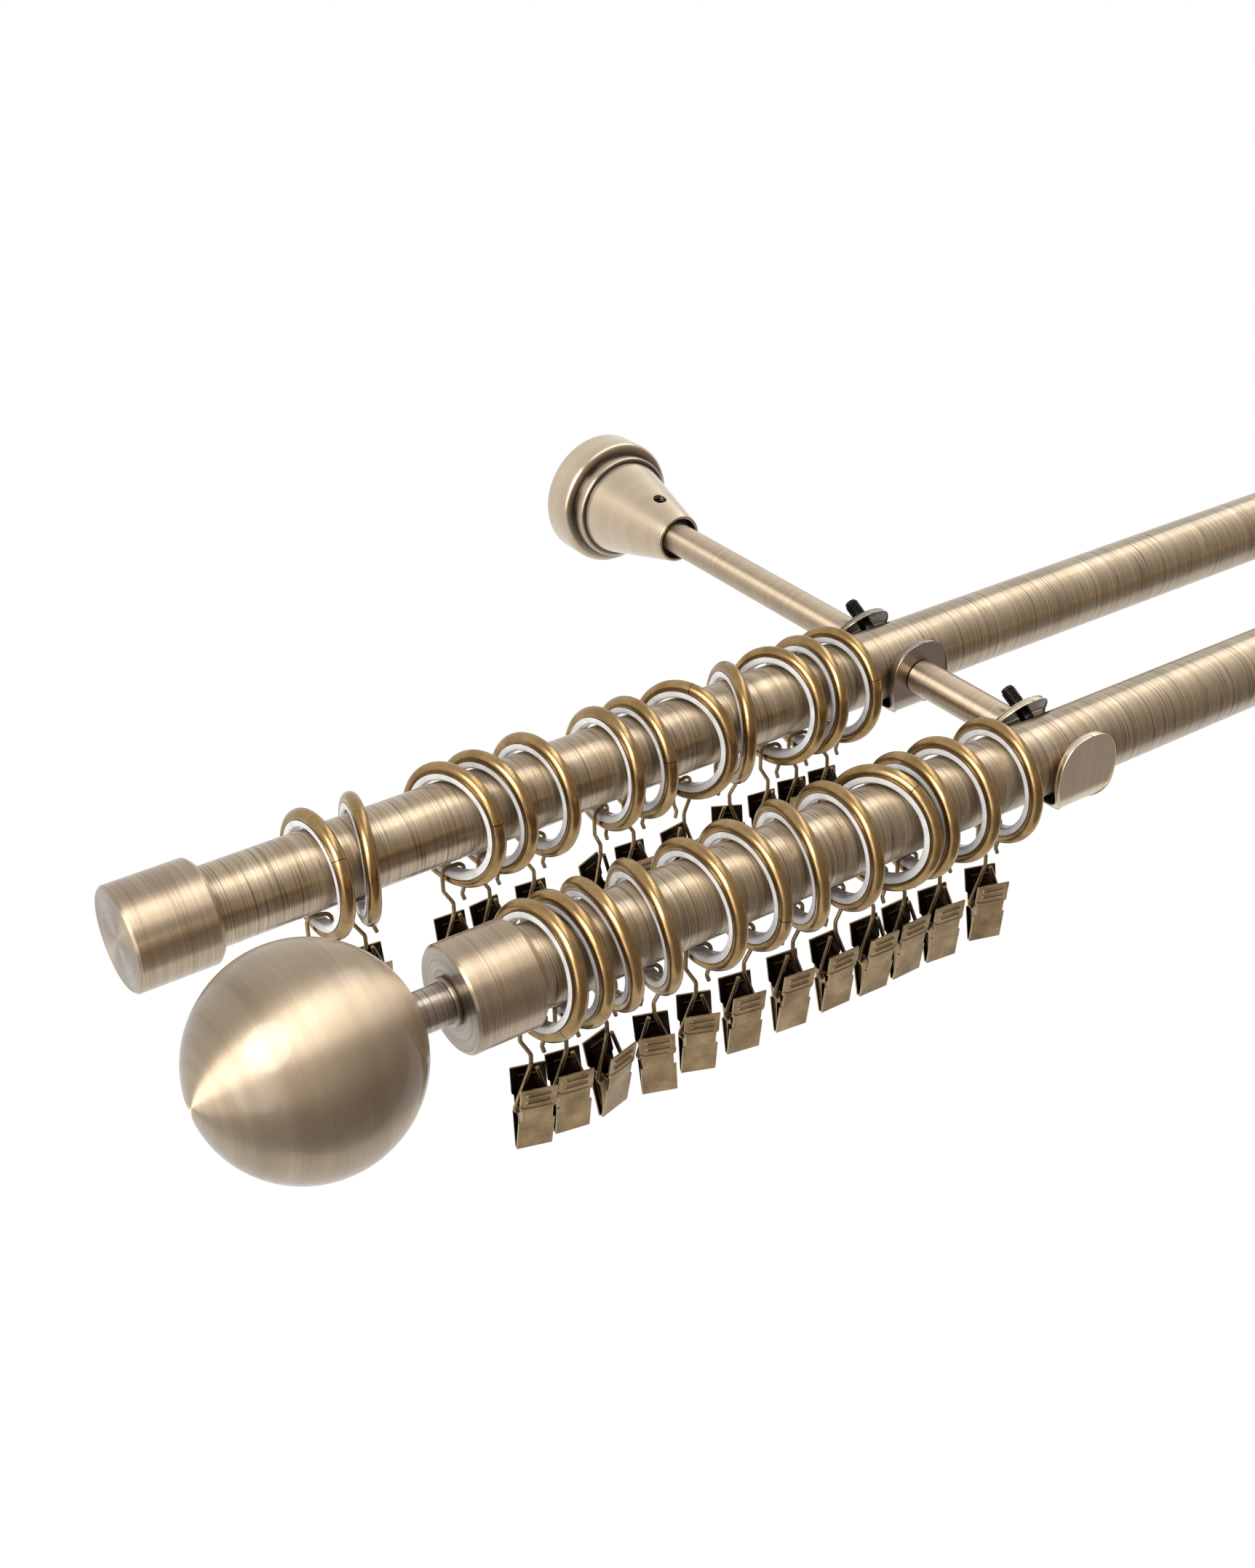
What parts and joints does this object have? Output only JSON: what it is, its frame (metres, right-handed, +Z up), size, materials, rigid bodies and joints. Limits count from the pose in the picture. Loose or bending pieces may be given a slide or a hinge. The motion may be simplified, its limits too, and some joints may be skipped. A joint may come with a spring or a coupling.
{
  "type": "double curtain pole",
  "caption": "Double curtain pole on wall brackets: ball finials on the front pole, flat end caps on the rear pole, and sliding rings that carry swinging curtain clips.",
  "frame": {"origin": "middle of the left bracket's mounting face on the wall", "axes": "+X along the poles from the left end to the right, +Y into the wall, +Z up"},
  "size_m": [1.2328, 0.2941, 0.0958],
  "materials": {
    "pole_brass": "antique, brushed round the pole",
    "cap_brass": "antique, turned",
    "stem_brass": "antique, turned",
    "ball_brass": "antique, satin spun",
    "flange_brass": "antique, satin",
    "plain_steel": "zinc plated",
    "black_steel": "black oxide",
    "arm_brass": "antique, brushed",
    "cradle_brass": "antique, brushed",
    "ring_brass": "antique, rubbed patina, with a white plastic liner",
    "clip_brass": "antique, grained"
  },
  "bodies": {
    "bracket_and_poles": {"rear_pole": "pole_brass", "front_pole": "pole_brass", "end_caps": "cap_brass", "finial_collars": "cap_brass", "finial_stems": "stem_brass", "finial_balls": "ball_brass", "wall_flanges": "flange_brass", "wall_plates": "plain_steel", "set_screws": "black_steel", "bracket_arms": "arm_brass", "pole_cradles": "cradle_brass", "clamp_screws": "black_steel"},
    "rear_ring_01": {"rear_ring_01": "ring_brass"},
    "rear_clip_01": {"rear_clip_01": "clip_brass"},
    "rear_ring_02": {"rear_ring_02": "ring_brass"},
    "rear_clip_02": {"rear_clip_02": "clip_brass"},
    "rear_ring_03": {"rear_ring_03": "ring_brass"},
    "rear_clip_03": {"rear_clip_03": "clip_brass"},
    "rear_ring_04": {"rear_ring_04": "ring_brass"},
    "rear_clip_04": {"rear_clip_04": "clip_brass"},
    "rear_ring_05": {"rear_ring_05": "ring_brass"},
    "rear_clip_05": {"rear_clip_05": "clip_brass"},
    "rear_ring_06": {"rear_ring_06": "ring_brass"},
    "rear_clip_06": {"rear_clip_06": "clip_brass"},
    "rear_ring_07": {"rear_ring_07": "ring_brass"},
    "rear_clip_07": {"rear_clip_07": "clip_brass"},
    "rear_ring_08": {"rear_ring_08": "ring_brass"},
    "rear_clip_08": {"rear_clip_08": "clip_brass"},
    "rear_ring_09": {"rear_ring_09": "ring_brass"},
    "rear_clip_09": {"rear_clip_09": "clip_brass"},
    "rear_ring_10": {"rear_ring_10": "ring_brass"},
    "rear_clip_10": {"rear_clip_10": "clip_brass"},
    "rear_ring_11": {"rear_ring_11": "ring_brass"},
    "rear_clip_11": {"rear_clip_11": "clip_brass"},
    "rear_ring_12": {"rear_ring_12": "ring_brass"},
    "rear_clip_12": {"rear_clip_12": "clip_brass"},
    "front_ring_01": {"front_ring_01": "ring_brass"},
    "front_clip_01": {"front_clip_01": "clip_brass"},
    "front_ring_02": {"front_ring_02": "ring_brass"},
    "front_clip_02": {"front_clip_02": "clip_brass"},
    "front_ring_03": {"front_ring_03": "ring_brass"},
    "front_clip_03": {"front_clip_03": "clip_brass"},
    "front_ring_04": {"front_ring_04": "ring_brass"},
    "front_clip_04": {"front_clip_04": "clip_brass"},
    "front_ring_05": {"front_ring_05": "ring_brass"},
    "front_clip_05": {"front_clip_05": "clip_brass"},
    "front_ring_06": {"front_ring_06": "ring_brass"},
    "front_clip_06": {"front_clip_06": "clip_brass"},
    "front_ring_07": {"front_ring_07": "ring_brass"},
    "front_clip_07": {"front_clip_07": "clip_brass"},
    "front_ring_08": {"front_ring_08": "ring_brass"},
    "front_clip_08": {"front_clip_08": "clip_brass"},
    "front_ring_09": {"front_ring_09": "ring_brass"},
    "front_clip_09": {"front_clip_09": "clip_brass"},
    "front_ring_10": {"front_ring_10": "ring_brass"},
    "front_clip_10": {"front_clip_10": "clip_brass"},
    "front_ring_11": {"front_ring_11": "ring_brass"},
    "front_clip_11": {"front_clip_11": "clip_brass"},
    "front_ring_12": {"front_ring_12": "ring_brass"},
    "front_clip_12": {"front_clip_12": "clip_brass"}
  },
  "joints": [
    {"name": "rear_ring_01_slide", "type": "slide", "parent": "bracket_and_poles", "child": "rear_ring_01", "axis": [1, 0, 0], "range_m": [-0.03, 0.004]},
    {"name": "rear_clip_01_swing", "type": "hinge", "parent": "rear_ring_01", "child": "rear_clip_01", "pos_m": [-0.22479, -0.18303, -0.00226], "axis": [0.998, 0.0349, -0.0523], "range_deg": [-30, 30]},
    {"name": "rear_ring_02_slide", "type": "slide", "parent": "bracket_and_poles", "child": "rear_ring_02", "axis": [1, 0, 0], "range_m": [-0.004, 0.017]},
    {"name": "rear_clip_02_swing", "type": "hinge", "parent": "rear_ring_02", "child": "rear_clip_02", "pos_m": [-0.21038, -0.1829, -0.00234], "axis": [0.9656, -0.2587, -0.0262], "range_deg": [-30, 5]},
    {"name": "rear_ring_03_slide", "type": "slide", "parent": "bracket_and_poles", "child": "rear_ring_03", "axis": [1, 0, 0], "range_m": [-0.017, 0.0016]},
    {"name": "rear_clip_03_swing", "type": "hinge", "parent": "rear_ring_03", "child": "rear_clip_03", "pos_m": [-0.17789, -0.18345, -0.00212], "axis": [0.9467, 0.3076, -0.0958], "range_deg": [-11, 6]},
    {"name": "rear_ring_04_slide", "type": "slide", "parent": "bracket_and_poles", "child": "rear_ring_04", "axis": [1, 0, 0], "range_m": [-0.0016, 0.004]},
    {"name": "rear_clip_04_swing", "type": "hinge", "parent": "rear_ring_04", "child": "rear_clip_04", "pos_m": [-0.1654, -0.18324, -0.00224], "axis": [0.9641, 0.2583, -0.061], "range_deg": [-29, 14]},
    {"name": "rear_ring_05_slide", "type": "slide", "parent": "bracket_and_poles", "child": "rear_ring_05", "axis": [1, 0, 0], "range_m": [-0.004, 0.0135]},
    {"name": "rear_clip_05_swing", "type": "hinge", "parent": "rear_ring_05", "child": "rear_clip_05", "pos_m": [-0.14805, -0.18317, -0.00221], "axis": [0.9853, 0.1561, -0.0698], "range_deg": [-30, 30]},
    {"name": "rear_ring_06_slide", "type": "slide", "parent": "bracket_and_poles", "child": "rear_ring_06", "axis": [1, 0, 0], "range_m": [-0.0135, 0.002]},
    {"name": "rear_clip_06_swing", "type": "hinge", "parent": "rear_ring_06", "child": "rear_clip_06", "pos_m": [-0.12146, -0.18305, -0.00212], "axis": [0.9948, 0.0347, -0.0958], "range_deg": [-30, 30]},
    {"name": "rear_ring_07_slide", "type": "slide", "parent": "bracket_and_poles", "child": "rear_ring_07", "axis": [1, 0, 0], "range_m": [-0.002, 0.006]},
    {"name": "rear_clip_07_swing", "type": "hinge", "parent": "rear_ring_07", "child": "rear_clip_07", "pos_m": [-0.10893, -0.18305, -0.00224], "axis": [0.9968, 0.0522, -0.061], "range_deg": [-30, 16]},
    {"name": "rear_ring_08_slide", "type": "slide", "parent": "bracket_and_poles", "child": "rear_ring_08", "axis": [1, 0, 0], "range_m": [-0.006, 0.003]},
    {"name": "rear_clip_08_swing", "type": "hinge", "parent": "rear_ring_08", "child": "rear_clip_08", "pos_m": [-0.0895, -0.18352, -0.00209], "axis": [0.9403, 0.3238, -0.1045], "range_deg": [-19, 16]},
    {"name": "rear_ring_09_slide", "type": "slide", "parent": "bracket_and_poles", "child": "rear_ring_09", "axis": [1, 0, 0], "range_m": [-0.003, 0.004]},
    {"name": "rear_clip_09_swing", "type": "hinge", "parent": "rear_ring_09", "child": "rear_clip_09", "pos_m": [-0.07026, -0.18277, -0.00226], "axis": [0.955, -0.292, -0.0523], "range_deg": [-19, 4]},
    {"name": "rear_ring_10_slide", "type": "slide", "parent": "bracket_and_poles", "child": "rear_ring_10", "axis": [1, 0, 0], "range_m": [-0.004, 0.0015]},
    {"name": "rear_clip_10_swing", "type": "hinge", "parent": "rear_ring_10", "child": "rear_clip_10", "pos_m": [-0.05118, -0.18354, -0.00191], "axis": [0.9596, 0.2393, -0.1478], "range_deg": [-7, 4]},
    {"name": "rear_ring_11_slide", "type": "slide", "parent": "bracket_and_poles", "child": "rear_ring_11", "axis": [1, 0, 0], "range_m": [-0.0015, 0.0023]},
    {"name": "rear_clip_11_swing", "type": "hinge", "parent": "rear_ring_11", "child": "rear_clip_11", "pos_m": [-0.03825, -0.18306, -0.00202], "axis": [0.9919, 0.0346, -0.1219], "range_deg": [-13, 30]},
    {"name": "rear_ring_12_slide", "type": "slide", "parent": "bracket_and_poles", "child": "rear_ring_12", "axis": [1, 0, 0], "range_m": [-0.0023, 0.0075]},
    {"name": "rear_clip_12_swing", "type": "hinge", "parent": "rear_ring_12", "child": "rear_clip_12", "pos_m": [-0.02544, -0.18323, -0.00212], "axis": [0.9831, 0.1557, -0.0958], "range_deg": [-30, 8]},
    {"name": "front_ring_01_slide", "type": "slide", "parent": "bracket_and_poles", "child": "front_ring_01", "axis": [1, 0, 0], "range_m": [-0.0005, 0.0008]},
    {"name": "front_clip_01_swing", "type": "hinge", "parent": "front_ring_01", "child": "front_clip_01", "pos_m": [-0.1974, -0.26222, -0.00195], "axis": [0.9848, 0.1035, -0.1392], "range_deg": [-6, 18]},
    {"name": "front_ring_02_slide", "type": "slide", "parent": "bracket_and_poles", "child": "front_ring_02", "axis": [1, 0, 0], "range_m": [-0.0008, 0.0006]},
    {"name": "front_clip_02_swing", "type": "hinge", "parent": "front_ring_02", "child": "front_clip_02", "pos_m": [-0.1877, -0.26203, -0.00234], "axis": [0.9972, 0.0697, -0.0262], "range_deg": [-17, 6]},
    {"name": "front_ring_03_slide", "type": "slide", "parent": "bracket_and_poles", "child": "front_ring_03", "axis": [1, 0, 0], "range_m": [-0.0006, 0.0007]},
    {"name": "front_clip_03_swing", "type": "hinge", "parent": "front_ring_03", "child": "front_clip_03", "pos_m": [-0.17628, -0.26205, -0.00215], "axis": [0.9956, -0.0348, 0.0872], "range_deg": [-18, 30]},
    {"name": "front_ring_04_slide", "type": "slide", "parent": "bracket_and_poles", "child": "front_ring_04", "axis": [1, 0, 0], "range_m": [-0.0007, 0.0034]},
    {"name": "front_clip_04_swing", "type": "hinge", "parent": "front_ring_04", "child": "front_clip_04", "pos_m": [-0.16135, -0.26213, -0.00221], "axis": [0.9901, -0.1216, 0.0698], "range_deg": [-18, 30]},
    {"name": "front_ring_05_slide", "type": "slide", "parent": "bracket_and_poles", "child": "front_ring_05", "axis": [1, 0, 0], "range_m": [-0.0034, 0.0045]},
    {"name": "front_clip_05_swing", "type": "hinge", "parent": "front_ring_05", "child": "front_clip_05", "pos_m": [-0.142, -0.262, -0.0024], "axis": [0.9976, 0.0698, 0], "range_deg": [-30, 30]},
    {"name": "front_ring_06_slide", "type": "slide", "parent": "bracket_and_poles", "child": "front_ring_06", "axis": [1, 0, 0], "range_m": [-0.0045, 0.007]},
    {"name": "front_clip_06_swing", "type": "hinge", "parent": "front_ring_06", "child": "front_clip_06", "pos_m": [-0.12563, -0.26201, -0.00238], "axis": [0.9975, 0.0698, -0.0087], "range_deg": [-22, 30]},
    {"name": "front_ring_07_slide", "type": "slide", "parent": "bracket_and_poles", "child": "front_ring_07", "axis": [1, 0, 0], "range_m": [-0.007, 0.0055]},
    {"name": "front_clip_07_swing", "type": "hinge", "parent": "front_ring_07", "child": "front_clip_07", "pos_m": [-0.10784, -0.26209, -0.00229], "axis": [0.9893, -0.139, 0.0436], "range_deg": [-23, 30]},
    {"name": "front_ring_08_slide", "type": "slide", "parent": "bracket_and_poles", "child": "front_ring_08", "axis": [1, 0, 0], "range_m": [-0.0055, 0.0025]},
    {"name": "front_clip_08_swing", "type": "hinge", "parent": "front_ring_08", "child": "front_clip_08", "pos_m": [-0.0899, -0.262, -0.00234], "axis": [0.9997, 0, -0.0262], "range_deg": [-30, 30]},
    {"name": "front_ring_09_slide", "type": "slide", "parent": "bracket_and_poles", "child": "front_ring_09", "axis": [1, 0, 0], "range_m": [-0.0025, 0.0016]},
    {"name": "front_clip_09_swing", "type": "hinge", "parent": "front_ring_09", "child": "front_clip_09", "pos_m": [-0.07238, -0.26247, -0.00212], "axis": [0.9412, 0.3241, -0.0958], "range_deg": [-11, 18]},
    {"name": "front_ring_10_slide", "type": "slide", "parent": "bracket_and_poles", "child": "front_ring_10", "axis": [1, 0, 0], "range_m": [-0.0016, 0.0025]},
    {"name": "front_clip_10_swing", "type": "hinge", "parent": "front_ring_10", "child": "front_clip_10", "pos_m": [-0.06027, -0.262, -0.00236], "axis": [0.9997, 0.0174, -0.0175], "range_deg": [-30, 30]},
    {"name": "front_ring_11_slide", "type": "slide", "parent": "bracket_and_poles", "child": "front_ring_11", "axis": [1, 0, 0], "range_m": [-0.0025, 0.008]},
    {"name": "front_clip_11_swing", "type": "hinge", "parent": "front_ring_11", "child": "front_clip_11", "pos_m": [-0.04479, -0.26207, -0.00226], "axis": [0.9948, 0.087, -0.0523], "range_deg": [-26, 30]},
    {"name": "front_ring_12_slide", "type": "slide", "parent": "bracket_and_poles", "child": "front_ring_12", "axis": [1, 0, 0], "range_m": [-0.008, 0.0095]},
    {"name": "front_clip_12_swing", "type": "hinge", "parent": "front_ring_12", "child": "front_clip_12", "pos_m": [-0.0249, -0.26199, -0.00234], "axis": [0.9995, -0.0174, -0.0262], "range_deg": [-27, 30]}
  ]
}
